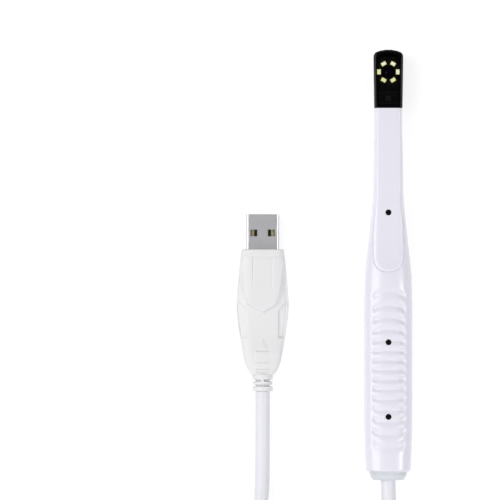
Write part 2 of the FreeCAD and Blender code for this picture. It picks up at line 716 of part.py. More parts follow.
def make_tail():
    """The domed end cap with its spigot, the bush in it, and what holds the cable inside."""
    stations = []
    for share, narrowing in ((0.0, 0.0), (0.35, 0.18), (0.7, 0.62), (1.0, 1.0)):
        half_thick = value("cap_thick") / 2 - narrowing * value("cap_thick - cap_small_thick") / 2
        stations.append((
            value("tail_joint") - share * value("tail_joint - tail_end"),
            value("cap_width") / 2 - narrowing * value("cap_width - cap_small_width") / 2,
            value("cable_height") - half_thick,
            value("cable_height") + half_thick,
        ))
    dome = shaped("cap_dome", lofted(stations, SUPERELLIPSE_CAP))
    spigot = cylinder("cap_spigot", "spigot_radius", "wall",
                      ("0", "tail_joint + wall", "cable_height"), TOWARDS_TAIL)
    bore = cylinder("cap_bore", "grommet_radius + 0.02", "20",
                    ("0", "tail_joint + 8", "cable_height"), TOWARDS_TAIL)
    node(cut("end_cap", fuse("end_cap", dome, spigot), bore), "end_cap")
    node(turned("bush", (
        ("cable_radius", "0"), ("grommet_radius", "0"), ("grommet_radius", "tail_end - tail_joint - wall"),
        ("spigot_radius", "tail_end - tail_joint - wall"),
        ("spigot_radius", "tail_end - tail_joint - wall - 2"),
        ("cable_radius", "tail_end - tail_joint - wall - 2"),
    ), ("0", "tail_end", "cable_height"), TOWARDS_TAIL), "cable_grommet")
    node(turned("crimp", (
        ("cable_radius", "0"), ("cable_radius + 0.5", "0"),
        ("cable_radius + 0.5", "4"), ("cable_radius", "4"),
    ), ("0", "tail_end + 14.5", "cable_height"), TOWARDS_TAIL), "cable_crimp")
    node(cylinder("inner_cable", "cable_radius", "jacket_inside",
                  ("0", "tail_end + jacket_inside", "cable_height"), TOWARDS_TAIL), "cable_inner_end")


def make_wires():
    """Four wires from the end of the jacket, two on each side of the tail post, to their plug."""
    start, end = value("tail_end + jacket_inside"), value("board_tail - 3.05")
    height = value("cable_height")
    for colour, near, rise, far in (
            ("red", -0.65, 0.9, -4.0), ("white", -0.65, -0.9, -2.75),
            ("green", 0.65, -0.9, 2.75), ("black", 0.65, 0.9, 4.0)):
        route = (
            (near, start, height + rise), (near, start + 1.2, height + rise),
            (far, start + 4.6, height + 1.0 + 0.2 * rise), (far, end, height + 1.0 + 0.2 * rise),
        )
        wire = tube_along(f"{colour} wire", route, value("wire_radius"))
        node(shaped(f"{colour}_core", wire), f"wire_{colour}")


# ---------------------------------------------------------------- cable

def tube_along(label, route, radius):
    """A round tube along straight runs joined by arcs, each as large as its two runs allow."""
    spots = [Vector(*point) for point in route]
    edges = []
    start = spots[0]
    for before, corner, after in zip(spots, spots[1:], spots[2:]):
        back, ahead = (before - corner), (after - corner)
        half_turn = (math.pi - back.getAngle(ahead)) / 2
        reach = 0.45 * min(back.Length, ahead.Length)
        bend = reach / math.tan(half_turn)
        print(f"{label}: bend radius {bend:.1f} mm")
        back.normalize()
        ahead.normalize()
        first, last = corner + back * reach, corner + ahead * reach
        inward = back + ahead
        inward.normalize()
        middle = corner + inward * (bend / math.cos(half_turn) - bend)
        edges.append(Part.LineSegment(start, first).toShape())
        edges.append(Part.Arc(first, middle, last).toShape())
        start = last
    edges.append(Part.LineSegment(start, spots[-1]).toShape())
    path = Part.Wire(edges)
    ring = Part.Wire([Part.Circle(spots[0], spots[1] - spots[0], radius).toShape()])
    tube = path.makePipeShell([ring], True, False)
    expected = math.pi * radius ** 2 * path.Length
    share = tube.Volume / expected
    print(f"{label}: length {path.Length:.1f} mm, volume {share:.4f} of section times length")
    return tube


# Each route is a list of points along the cable's axis, chosen by hand.
HANDPIECE_ROUTE = (
    (0.0, -76.9, 8.4), (0.0, -89.5, 8.4), (3.4, -103.5, 4.9), (10.3, -116.0, 3.6),
)
PLUG_ROUTE = (
    (-44.9, -45.2, 4.35), (-44.9, -65.5, 4.35), (-45.1, -86.0, 5.3), (-49.2, -102.0, 9.4),
    (-56.0, -116.5, 13.2),
)


def make_cable():
    radius = value("cable_radius")
    axis = Vector(value("coil_across"), value("coil_along"), value("coil_lift"))
    reach = value("coil_radius + coil_columns * turn_pitch / 2")
    room = Part.makeCylinder(reach + 0.01, value("coil_layers * turn_pitch") + 6, axis - Vector(0, 0, 3))
    for label, name, route in (
            ("handpiece run", "cable_handpiece_run", HANDPIECE_ROUTE),
            ("plug run", "cable_plug_run", PLUG_ROUTE)):
        # Each run ends where it meets the side of the coil.
        node(shaped(f"{name}_tube", tube_along(label, route, radius).cut(room)), name)
    half = "coil_columns * turn_pitch / 2"
    low, high = "coil_lift", "coil_lift + coil_layers * turn_pitch"
    node(turned("coil", (
        (f"coil_radius - {half}", low), (f"coil_radius + {half}", low),
        (f"coil_radius + {half}", high), (f"coil_radius - {half}", high),
    ), ("coil_across", "coil_along", "0")), "cable_coil")
    depth = f"({half} * 2 + 1.4)"
    middle = ("coil_across", "coil_along - coil_radius + 0.35")
    band = box("band", ("tie_width", f"{depth} + 1.4", f"{high} + 0.75"), middle, "0")
    hollow = box("band_hollow", ("tie_width + 2", depth, f"{high} - {low} + 0.04"), middle, f"{low} - 0.02")
    node(cut("coil_tie", band, hollow), "coil_tie")


# ---------------------------------------------------------------- plug

def make_plug():
    across, rise = value("plug_place"), value("plug_height")

    def tube_block(name, inset, start, end):
        """A rounded rectangle along Y, from start towards the tail."""
        length = f"({start}) - ({end})"
        body = plate(name, rectangle(f"shell_width / 2 - {inset}", f"0 - shell_thick / 2 + {inset}",
                                     f"shell_thick / 2 - {inset}"), length, ("0", "0", "0"),
                     f"shell_corner - {inset} * 0.9")
        return put(body, ("plug_place", start, "plug_height"), TOWARDS_TAIL)

    outer = tube_block("shell_outer", "0", "plug_tip", "plug_root")
    inner = tube_block("shell_inner", "shell_sheet", "plug_tip + 1", "plug_root - 1")
    windows = [
        box(f"shell_window_{number}", ("window_side", "window_side", "2 * shell_thick"),
            (f"plug_place + {side} * window_apart", "window_place"), "plug_height - shell_thick")
        for number, side in enumerate((-1, 1))
    ]
    node(cut("plug_shell", outer, inner, *windows), "plug_shell")
    tongue = box("tongue",
                 ("shell_width - 2 * shell_sheet - 1.3", "plug_tip - 1 - plug_root - 2", "tongue_thick"),
                 ("plug_place", "(plug_tip - 1 + plug_root + 2) / 2"),
                 "plug_height - shell_thick / 2 + shell_sheet + 0.03")
    block = box("tongue_root",
                ("shell_width - 2 * shell_sheet - 1.3", "4", "shell_thick - 2 * shell_sheet - 0.1"),
                ("plug_place", "plug_root + 4"), "plug_height - shell_thick / 2 + shell_sheet + 0.05")
    node(fuse("plug_insulator", tongue, block), "plug_insulator")
    strips = [
        box(f"contact_{number}", ("1", "9", "0.25"), (f"plug_place + {offset}", "plug_tip - 5.8"),
            "plug_height - shell_thick / 2 + shell_sheet + 0.03 + tongue_thick")
        for number, offset in enumerate((-3.5, -1.0, 1.0, 3.5))
    ]
    node(group("plug_contacts", strips), "plug_contacts")
    cover = lofted(COVER_STATIONS, SUPERELLIPSE_COVER, across)
    half_width, half_thick = value("shell_width / 2"), value("shell_thick / 2")
    depth = value("plug_mouth - plug_root")
    socket = Part.makeBox(2 * half_width, depth + 1, 2 * half_thick,
                          Vector(across - half_width, value("plug_root"), rise - half_thick))
    node(shaped("cover", cover.cut(socket)), "plug_cover")
    node(turned("boot", (
        ("0", "0"), ("boot_radius", "0"), ("boot_radius", "1.0"), ("boot_radius - 0.6", "1.0"),
        ("boot_radius - 0.6", "2.0"), ("boot_radius", "2.0"), ("boot_radius", "3.2"),
        ("boot_radius - 0.6", "3.2"), ("boot_radius - 0.6", "4.2"), ("boot_radius - 0.1", "4.2"),
        ("boot_radius - 0.2", "cover_end - boot_end"), ("0", "cover_end - boot_end"),
    ), ("plug_place", "cover_end", "plug_height"), TOWARDS_TAIL), "plug_boot")


def check_document():
    document.recompute()
    for piece in document.Objects:
        if "Invalid" in piece.State or "Error" in piece.State:
            raise RuntimeError(f"{piece.Label} failed: {piece.State}")
    for piece in nodes:
        if piece.Shape.isNull() or not piece.Shape.isValid() or piece.Shape.Volume <= 0:
            raise RuntimeError(f"{piece.Label} has no valid shape")


def export():
    os.makedirs("parts", exist_ok=True)
    for piece in nodes:
        piece.Shape.exportStep(os.path.join("parts", f"{piece.Label}.step"))
        extent = piece.Shape.BoundBox
        print(f"{piece.Label}: {len(piece.Shape.Solids)} solid(s), volume {piece.Shape.Volume:.2f} mm3, "
              f"z from {extent.ZMin:.2f}")


outside_shape = body_outside()
make_body_shells(outside_shape)
make_head_cap()
make_head_front()
make_head_frame()
make_screws()
make_lens()
make_lights()
make_boards()
make_head_flex()
make_switch()
make_button(outside_shape)
make_tail()
make_wires()
make_plug()
make_cable()
check_document()
export()
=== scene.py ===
"""Looks of an intraoral camera: a slim white wand with a black head, and its USB plug beside it.

All of it is in the frame of the model: +Y towards the head, +Z the way the lens looks. The camera
and the lights are in metres. The tables of shapes are in millimetres, and MM scales them when a
mesh is made.
"""
import json
import math

import bpy
import bmesh
import numpy as np
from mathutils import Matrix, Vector


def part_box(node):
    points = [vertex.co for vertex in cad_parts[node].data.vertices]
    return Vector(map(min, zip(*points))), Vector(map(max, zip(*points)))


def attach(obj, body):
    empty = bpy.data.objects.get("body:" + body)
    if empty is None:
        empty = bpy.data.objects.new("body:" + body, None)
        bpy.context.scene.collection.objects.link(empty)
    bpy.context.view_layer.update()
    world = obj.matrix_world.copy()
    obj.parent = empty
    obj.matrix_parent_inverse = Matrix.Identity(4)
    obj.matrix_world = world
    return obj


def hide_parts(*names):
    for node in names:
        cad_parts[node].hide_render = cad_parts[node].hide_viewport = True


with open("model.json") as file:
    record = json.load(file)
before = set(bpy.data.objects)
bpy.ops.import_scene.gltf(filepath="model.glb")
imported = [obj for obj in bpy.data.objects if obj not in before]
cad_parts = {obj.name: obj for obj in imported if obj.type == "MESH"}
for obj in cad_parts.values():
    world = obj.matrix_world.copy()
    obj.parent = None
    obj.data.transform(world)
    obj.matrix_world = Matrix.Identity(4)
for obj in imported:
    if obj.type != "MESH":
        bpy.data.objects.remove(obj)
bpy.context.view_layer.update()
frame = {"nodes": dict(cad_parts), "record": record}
MM = 0.001


def low_high(node):
    """Lowest and highest corner of a CAD node, in millimetres."""
    low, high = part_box(node)
    return np.array(low) / MM, np.array(high) / MM


# ---------------------------------------------------------------- camera, floor and light

VIEW_WIDTH = 0.1786
VIEW_MIDDLE = Vector((-0.0494, 0.0053, 0.011))
CAMERA_DISTANCE = 3.0
SENSOR = 36.0
FLOOR_SHADE, FLOOR_GLOW = 0.4, 0.68
AMBIENT = 0.45
# The world fades between these heights of a unit sphere, to this share of its light.
FADE_FROM, FADE_TO, FADE_SHARE = 0.80, 0.98, 0.08
LIGHT_AIM = Vector((-0.02, 0.0, 0.0))


def make_camera():
    data = bpy.data.cameras.new("camera")
    data.sensor_width = SENSOR
    data.lens = SENSOR * CAMERA_DISTANCE / VIEW_WIDTH
    data.clip_start = 0.1
    data.clip_end = 20
    camera = bpy.data.objects.new("camera", data)
    camera.location = VIEW_MIDDLE + Vector((0, 0, CAMERA_DISTANCE))
    bpy.context.scene.collection.objects.link(camera)
    bpy.context.scene.camera = camera


def make_floor():
    mesh = bpy.data.meshes.new("floor")
    reach = 6.0
    corners = [(-reach, -reach, 0), (reach, -reach, 0), (reach, reach, 0), (-reach, reach, 0)]
    mesh.from_pydata(corners, [], [(0, 1, 2, 3)])
    floor = bpy.data.objects.new("floor", mesh)
    floor.location.z = -0.0001
    bpy.context.scene.collection.objects.link(floor)
    material = bpy.data.materials.new("floor")
    material.use_nodes = True
    shader = material.node_tree.nodes["Principled BSDF"]
    shader.inputs["Base Color"].default_value = (FLOOR_SHADE, FLOOR_SHADE, FLOOR_SHADE, 1)
    shader.inputs["Roughness"].default_value = 0.9
    shader.inputs["Specular IOR Level"].default_value = 0.1
    shader.inputs["Emission Color"].default_value = (1, 1, 1, 1)
    shader.inputs["Emission Strength"].default_value = FLOOR_GLOW
    mesh.materials.append(material)


def area_light(name, place, size, power, tint=(1, 1, 1), in_gloss=True):
    """A soft box that looks at the object and isn't seen itself."""
    data = bpy.data.lights.new(name, "AREA")
    data.shape = "RECTANGLE"
    data.size, data.size_y = size
    data.energy = power
    data.color = tint
    light = bpy.data.objects.new(name, data)
    light.location = place
    light.rotation_euler = (LIGHT_AIM - Vector(place)).to_track_quat("-Z", "Y").to_euler()
    light.visible_camera = False
    light.visible_glossy = in_gloss
    bpy.context.scene.collection.objects.link(light)


def make_world():
    """Even light from all round that fades out straight above, so that flat gloss stays dark."""
    world = bpy.data.worlds.new("studio")
    world.use_nodes = True
    tree = world.node_tree
    place = tree.nodes.new("ShaderNodeTexCoord")
    split = tree.nodes.new("ShaderNodeSeparateXYZ")
    fade = tree.nodes.new("ShaderNodeMapRange")
    fade.interpolation_type = "SMOOTHSTEP"
    fade.inputs["From Min"].default_value = FADE_FROM
    fade.inputs["From Max"].default_value = FADE_TO
    fade.inputs["To Min"].default_value = AMBIENT
    fade.inputs["To Max"].default_value = AMBIENT * FADE_SHARE
    tree.links.new(place.outputs["Generated"], split.inputs["Vector"])
    tree.links.new(split.outputs["Z"], fade.inputs["Value"])
    background = tree.nodes["Background"]
    background.inputs["Color"].default_value = (0.97, 0.98, 1.0, 1)
    tree.links.new(fade.outputs["Result"], background.inputs["Strength"])
    bpy.context.scene.world = world
    bpy.context.scene.view_settings.view_transform = "Standard"


def make_lights():
    """A long soft box to the left, a smaller one to the right, and one beyond each end."""
    make_world()
    area_light("left", (-1.0, 0.1, 1.25), (1.2, 1.6), 17.5, (1.0, 0.99, 1.0))
    area_light("right", (0.95, -0.12, 1.25), (0.45, 0.6), 7.0, (0.98, 0.99, 1.0))
    area_light("head_end", (0.0, 1.4, 0.85), (1.4, 0.7), 1.5, in_gloss=False)
    area_light("tail_end", (0.0, -1.4, 0.85), (1.4, 0.7), 8.5, in_gloss=False)


make_camera()
make_floor()
make_lights()


# ---------------------------------------------------------------- materials

def colour(red, green, blue):
    """A linear colour from the values that a screen shows, 0 to 255."""
    def straight(level):
        level /= 255
        return level / 12.92 if level <= 0.04045 else ((level + 0.055) / 1.055) ** 2.4
    return (straight(red), straight(green), straight(blue), 1.0)


def shade(base, factor):
    return tuple(min(1.0, part * factor) for part in base[:3]) + (1.0,)


# Each finish: colour on screen, roughness, colour spread, grain, grain depth, drift, wear.
FINISHES = {
    "white_plastic": ((219, 217, 226), 0.3, 0.008, 2600, 0.000003, 40, 0.04),
    "black_gloss": ((5, 5, 7), 0.14, 0.1, 2500, 0.000003, 90, 0.05),
    "window_clear": ((1, 1, 2), 0.05, 0.05, 1500, 0, 90, 0.02),
    "gasket_black": ((14, 14, 15), 0.7, 0.1, 3000, 0.00001, 60, 0.04),
    "lens_glass": ((52, 34, 92), 0.03, 0.2, 400, 0, 300, 0.01),
    "filter_glass": ((120, 60, 90), 0.05, 0.1, 500, 0, 200, 0.02),
    "barrel_black": ((20, 20, 22), 0.38, 0.1, 5000, 0.000006, 200, 0.08),
    "holder_black": ((16, 16, 17), 0.6, 0.1, 4000, 0.00001, 60, 0.04),
    "sensor_package": ((60, 66, 74), 0.12, 0.2, 3000, 0, 900, 0.05),
    "board_green": ((32, 104, 62), 0.35, 0.12, 1800, 0.00001, 700, 0.08),
    "board_black": ((7, 7, 8), 0.6, 0.15, 2500, 0.00001, 500, 0.08),
    "led_white": ((238, 236, 214), 0.35, 0.02, 4000, 0.000005, 300, 0.05),
    "phosphor_yellow": ((236, 226, 120), 0.45, 0.08, 5000, 0.00001, 900, 0.05),
    "screw_black": ((17, 17, 20), 0.33, 0.2, 6000, 0.000008, 900, 0.1),
    "frame_grey": ((120, 122, 125), 0.5, 0.05, 3000, 0.00001, 60, 0.04),
    # The end cap's grey, darker than the white body, is partly painted shade: it stands in for the dimmer
    # light on the cap's down-facing, tapered end.
    "cap_grey": ((203, 206, 211), 0.4, 0.015, 4200, 0.00002, 80, 0.06),
    "button_grey": ((188, 192, 200), 0.5, 0.02, 3800, 0.00002, 90, 0.06),
    "cable_white": ((215, 215, 220), 0.42, 0.012, 1500, 0.00001, 50, 0.06),
    "bush_white": ((205, 205, 212), 0.5, 0.02, 3000, 0.00001, 60, 0.04),
    "plug_white": ((216, 216, 216), 0.45, 0.008, 3200, 0.000015, 50, 0.06),
    "shell_steel": ((210, 210, 212), 0.26, 0.03, 2500, 0.000003, 200, 0.05),
    "contact_gold": ((250, 232, 178), 0.3, 0.05, 3000, 0.000003, 400, 0.05),
    "insulator_black": ((14, 14, 15), 0.55, 0.1, 3000, 0.00001, 60, 0.04),
    "chip_black": ((22, 22, 24), 0.55, 0.12, 6000, 0.00001, 600, 0.06),
    "can_metal": ((190, 190, 188), 0.3, 0.05, 3000, 0.000004, 400, 0.06),
    "capacitor_tan": ((170, 140, 104), 0.5, 0.1, 4000, 0.00001, 700, 0.04),
    "connector_ivory": ((226, 220, 198), 0.45, 0.03, 3000, 0.00001, 60, 0.04),
    "flex_amber": ((190, 118, 40), 0.3, 0.1, 900, 0.000005, 300, 0.05),
    "switch_metal": ((176, 176, 174), 0.35, 0.05, 3000, 0.000004, 400, 0.06),
    "plunger_black": ((20, 20, 21), 0.5, 0.1, 3000, 0.00001, 60, 0.04),
    "wire_red": ((196, 32, 34), 0.4, 0.04, 3000, 0.000005, 60, 0.04),
    "wire_white": ((226, 226, 224), 0.4, 0.03, 3000, 0.000005, 60, 0.04),
    "wire_green": ((30, 140, 70), 0.4, 0.04, 3000, 0.000005, 60, 0.04),
    "wire_black": ((18, 18, 18), 0.4, 0.1, 3000, 0.000005, 60, 0.04),
    "crimp_metal": ((206, 180, 120), 0.35, 0.05, 3000, 0.000004, 300, 0.06),
    "strap_grey": ((66, 67, 71), 0.85, 0.12, 2200, 0.0002, 500, 0.05),
}
# What a finish sets besides, by shader socket.
EXTRAS = {
    "white_plastic": {"Coat Weight": 0.25, "Coat Roughness": 0.14},
    "black_gloss": {"Specular IOR Level": 0.2},
    "window_clear": {"Alpha": 0.5, "Specular IOR Level": 0.3},
    "lens_glass": {"Alpha": 0.5, "IOR": 1.6, "Coat Weight": 1.0, "Coat Roughness": 0.03},
    "filter_glass": {"Alpha": 0.5},
    "barrel_black": {"Metallic": 0.6},
    "led_white": {"Emission Color": colour(244, 245, 175), "Emission Strength": 2.6},
    "phosphor_yellow": {"Emission Strength": 3.3},
    "screw_black": {"Metallic": 0.7},
    "cable_white": {"Sheen Weight": 0.05},
    "shell_steel": {"Metallic": 0.6},
    "contact_gold": {"Metallic": 0.35},
    "can_metal": {"Metallic": 1.0},
    "switch_metal": {"Metallic": 1.0},
    "crimp_metal": {"Metallic": 1.0},
    "strap_grey": {"Sheen Weight": 0.4, "Sheen Roughness": 0.5},
}
# Finishes whose pattern is drawn out along an axis.
BRUSHED = {"shell_steel": (12, 1, 12)}
# Nearly all of a noise texture's values lie between these.
NOISE_LOW, NOISE_HIGH = 0.3, 0.7
BUMP_STRENGTH = 0.35


def surface(name, screen, roughness, spread, grain, grain_depth, drift, wear):
    """A procedural finish: slow drifts of colour and gloss, and a fine moulded grain in the bump.

    spread is how much the colour drifts, wear how much the roughness does, and grain and drift are
    features per metre.
    """
    base = colour(*screen)
    material = bpy.data.materials.new(name)
    material.use_nodes = True
    tree = material.node_tree
    shader = tree.nodes["Principled BSDF"]
    shader.inputs["Roughness"].default_value = roughness
    for socket, number in EXTRAS.get(name, {}).items():
        shader.inputs[socket].default_value = number

    place = tree.nodes.new("ShaderNodeTexCoord")
    mapping = tree.nodes.new("ShaderNodeMapping")
    mapping.inputs["Scale"].default_value = BRUSHED.get(name, (1, 1, 1))
    tree.links.new(place.outputs["Object"], mapping.inputs["Vector"])
    slow = tree.nodes.new("ShaderNodeTexNoise")
    slow.inputs["Scale"].default_value = drift
    slow.inputs["Detail"].default_value = 3.0
    tree.links.new(mapping.outputs["Vector"], slow.inputs["Vector"])

    ramp = tree.nodes.new("ShaderNodeValToRGB")
    ramp.color_ramp.elements[0].position = NOISE_LOW
    ramp.color_ramp.elements[1].position = NOISE_HIGH
    ramp.color_ramp.elements[0].color = shade(base, 1 - spread)
    ramp.color_ramp.elements[1].color = shade(base, 1 + spread)
    tree.links.new(slow.outputs["Fac"], ramp.inputs["Fac"])
    tree.links.new(ramp.outputs["Color"], shader.inputs["Base Color"])

    gloss = tree.nodes.new("ShaderNodeMapRange")
    gloss.inputs["From Min"].default_value = NOISE_LOW
    gloss.inputs["From Max"].default_value = NOISE_HIGH
    gloss.inputs["To Min"].default_value = max(0.0, roughness - wear)
    gloss.inputs["To Max"].default_value = min(1.0, roughness + wear)
    fine = tree.nodes.new("ShaderNodeTexNoise")
    fine.inputs["Scale"].default_value = grain
    fine.inputs["Detail"].default_value = 4.0
    tree.links.new(mapping.outputs["Vector"], fine.inputs["Vector"])
    tree.links.new(fine.outputs["Fac"], gloss.inputs["Value"])
    tree.links.new(gloss.outputs["Result"], shader.inputs["Roughness"])

    if grain_depth:
        bump = tree.nodes.new("ShaderNodeBump")
        bump.inputs["Strength"].default_value = BUMP_STRENGTH
        bump.inputs["Distance"].default_value = grain_depth
        tree.links.new(fine.outputs["Fac"], bump.inputs["Height"])
        tree.links.new(bump.outputs["Normal"], shader.inputs["Normal"])
    return material


GLOW_TURN, GLOW_START = math.radians(55), 0.35


def uneven_glow(material, dull, bright):
    """Light that runs from dull at the lower left of a group of lamps to bright at its upper right."""
    tree = material.node_tree
    place = tree.nodes.new("ShaderNodeTexCoord")
    mapping = tree.nodes.new("ShaderNodeMapping")
    mapping.inputs["Rotation"].default_value = (0, 0, -GLOW_TURN)
    gradient = tree.nodes.new("ShaderNodeTexGradient")
    ramp = tree.nodes.new("ShaderNodeValToRGB")
    ramp.color_ramp.elements[0].position = GLOW_START
    ramp.color_ramp.elements[0].color = dull
    ramp.color_ramp.elements[1].color = bright
    tree.links.new(place.outputs["Generated"], mapping.inputs["Vector"])
    tree.links.new(mapping.outputs["Vector"], gradient.inputs["Vector"])
    tree.links.new(gradient.outputs["Color"], ramp.inputs["Fac"])
    shader = tree.nodes["Principled BSDF"]
    tree.links.new(ramp.outputs["Color"], shader.inputs["Emission Color"])


MATERIALS = {name: surface(name, *numbers) for name, numbers in FINISHES.items()}
uneven_glow(MATERIALS["phosphor_yellow"], dull=colour(240, 243, 176), bright=colour(255, 255, 242))


def paint_nodes():
    """Every CAD node gets the finish of its material slot."""
    slots = {entry["node"]: entry["material_slot"] for entry in frame["record"]["subparts"]}
    for name, item in frame["nodes"].items():
        item.data.materials.clear()
        item.data.materials.append(MATERIALS[slots[name]])


paint_nodes()


# ---------------------------------------------------------------- mesh helpers

def new_object(name, points, faces, material):
    """A mesh object from points in millimetres."""
    mesh = bpy.data.meshes.new(name)
    mesh.from_pydata((np.asarray(points, float) * MM).tolist(), [], faces)
    mesh.update()
    item = bpy.data.objects.new(name, mesh)
    bpy.context.scene.collection.objects.link(item)
    mesh.materials.append(MATERIALS[material])
    return item


def outward(item):
    """Point every face of a closed mesh outwards."""
    work = bmesh.new()
    work.from_mesh(item.data)
    bmesh.ops.remove_doubles(work, verts=work.verts, dist=1e-8)
    bmesh.ops.recalc_face_normals(work, faces=work.faces)
    work.to_mesh(item.data)
    work.free()
    return item


def smooth(item, angle=32):
    item.data.shade_smooth()
    item.data.set_sharp_from_angle(angle=math.radians(angle))
    return item


def settle(item, body, nodes=()):
    """Tie a finished piece to its body, and hide the CAD nodes that it stands for."""
    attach(item, body)
    if nodes:
        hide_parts(*nodes)
    return item


def carve(item, cutters):
    """Cut each cutter out of item for good."""
    for cutter in cutters:
        change = item.modifiers.new("carve", "BOOLEAN")
        change.operation = "DIFFERENCE"
        change.solver = "EXACT"
        change.object = cutter
    evaluated = item.evaluated_get(bpy.context.evaluated_depsgraph_get())
    mesh = bpy.data.meshes.new_from_object(evaluated)
    item.modifiers.clear()
    item.data = mesh
    for cutter in cutters:
        bpy.data.objects.remove(cutter)
    return item


def grid_faces(rows, columns, start=0, closed=False, flip=False):
    """Quads over rows of points; closed joins the last column to the first."""
    faces = []
    for row in range(rows - 1):
        for column in range(columns if closed else columns - 1):
            after = (column + 1) % columns
            corners = [
                start + row * columns + column, start + row * columns + after,
                start + (row + 1) * columns + after, start + (row + 1) * columns + column,
            ]
            faces.append(corners[::-1] if flip else corners)
    return faces


def curve_through(table, places):
    """Smooth values at places from a table of rows (place, values...), by Hermite pieces."""
    table = np.array(sorted(table), float)
    spots, values = table[:, 0], table[:, 1:]
    slopes = np.gradient(values, spots, axis=0)
    places = np.clip(np.asarray(places, float), spots[0], spots[-1])
    left = np.clip(np.searchsorted(spots, places, side="right") - 1, 0, len(spots) - 2)
    span = (spots[left + 1] - spots[left])[..., None]
    share = ((places - spots[left]) / span[..., 0])[..., None]
    return (
        values[left] * (2 * share ** 3 - 3 * share ** 2 + 1)
        + slopes[left] * span * (share ** 3 - 2 * share ** 2 + share)
        + values[left + 1] * (3 * share ** 2 - 2 * share ** 3)
        + slopes[left + 1] * span * (share ** 3 - share ** 2)
    )


def eased(values, low, high):
    """0 below low, 1 above high, smooth between."""
    share = np.clip((values - low) / (high - low), 0, 1)
    return share * share * (3 - 2 * share)


def ridge(values, middle, width, power=2):
    """1 at the middle, falling off to 0 on both sides; a higher power makes it flat on top."""
    return np.exp(-((values - middle) / width) ** power)


def softer_of(first, second, width):
    """The lower of two heights, rounded where they cross."""
    share = np.clip(0.5 + 0.5 * (second - first) / width, 0, 1)
    return second + (first - second) * share - width * share * (1 - share)


def arc_section(half_width, back, front, power, first, last, columns, samples=1600):
    """Evenly spaced points of a superellipse between two angles, as (x, z)."""
    angles = np.linspace(first, last, samples)
    side, rise = np.cos(angles), np.sin(angles)
    across = half_width * np.sign(side) * np.abs(side) ** (2 / power)
    height = (front + back) / 2 + (front - back) / 2 * np.sign(rise) * np.abs(rise) ** (2 / power)
    reach = np.concatenate([[0], np.cumsum(np.hypot(np.diff(across), np.diff(height)))])
    wanted = np.linspace(0, reach[-1], columns)
    return np.interp(wanted, reach, across), np.interp(wanted, reach, height)


# ---------------------------------------------------------------- cable

CABLE_RADIUS = 2.65
# The points of the two runs, the same as in part.py.
HANDPIECE_ROUTE = (
    (0.0, -76.9, 8.4), (0.0, -89.5, 8.4), (3.4, -103.5, 4.9), (10.3, -116.0, 3.6),
)
PLUG_ROUTE = (
    (-44.9, -45.2, 4.35), (-44.9, -65.5, 4.35), (-45.1, -86.0, 5.3), (-49.2, -102.0, 9.4),
    (-56.0, -116.5, 13.2),
)
TURN_PITCH = 5.45
TURN_POINTS = 16
TURNS = 10.5
TURN_COLUMNS = 4
# The share of a turn over which it climbs to the next cell.
TURN_CLIMB = (0.5, 0.95)
# The place of each turn in the coil: column from the inside, and layer.
TURN_CELLS = ((3, 0), (2, 0), (1, 0), (0, 0), (0, 1), (0, 2), (1, 2), (1, 1), (2, 1), (2, 2), (3, 2))
STRAP_THICK, STRAP_CORNER, STRAP_EDGE = 0.6, 2.6, 0.15


def coil_points():
    """Turns of the coil, clockwise from its right side, each climbing to the next cell."""
    low, high = low_high("cable_coil")
    middle = (low + high) / 2
    inner = (high[0] - low[0]) / 2 - (TURN_COLUMNS - 0.5) * TURN_PITCH
    # A quadratic spline runs inside its points by this share.
    outside = 1 / math.cos(math.pi / TURN_POINTS)
    points = []
    for number in range(int(TURNS * TURN_POINTS) + 1):
        turn, step = divmod(number, TURN_POINTS)
        share = eased(step / TURN_POINTS, *TURN_CLIMB)
        column, layer = TURN_CELLS[turn]
        next_column, next_layer = TURN_CELLS[min(turn + 1, len(TURN_CELLS) - 1)]
        radius = (inner + TURN_PITCH * (column + share * (next_column - column))) * outside
        height = low[2] + TURN_PITCH * (0.5 + layer + share * (next_layer - layer))
        angle = -2 * math.pi * number / TURN_POINTS
        points.append((middle[0] + radius * math.cos(angle), middle[1] + radius * math.sin(angle), height))
    return points


def make_cable():
    points = list(HANDPIECE_ROUTE) + coil_points() + list(reversed(PLUG_ROUTE))
    data = bpy.data.curves.new("usb_cable", "CURVE")
    data.dimensions = "3D"
    data.bevel_depth = CABLE_RADIUS * MM
    data.bevel_resolution = 7
    data.resolution_u = 8
    data.use_fill_caps = True
    spline = data.splines.new("NURBS")
    spline.points.add(len(points) - 1)
    for point, place in zip(spline.points, points):
        point.co = (*(axis * MM for axis in place), 1)
    spline.order_u = 3
    spline.use_endpoint_u = True
    cable = bpy.data.objects.new("usb_cable", data)
    bpy.context.scene.collection.objects.link(cable)
    data.materials.append(MATERIALS["cable_white"])
    settle(cable, "root", ("cable_handpiece_run", "cable_coil", "cable_plug_run"))
    return cable


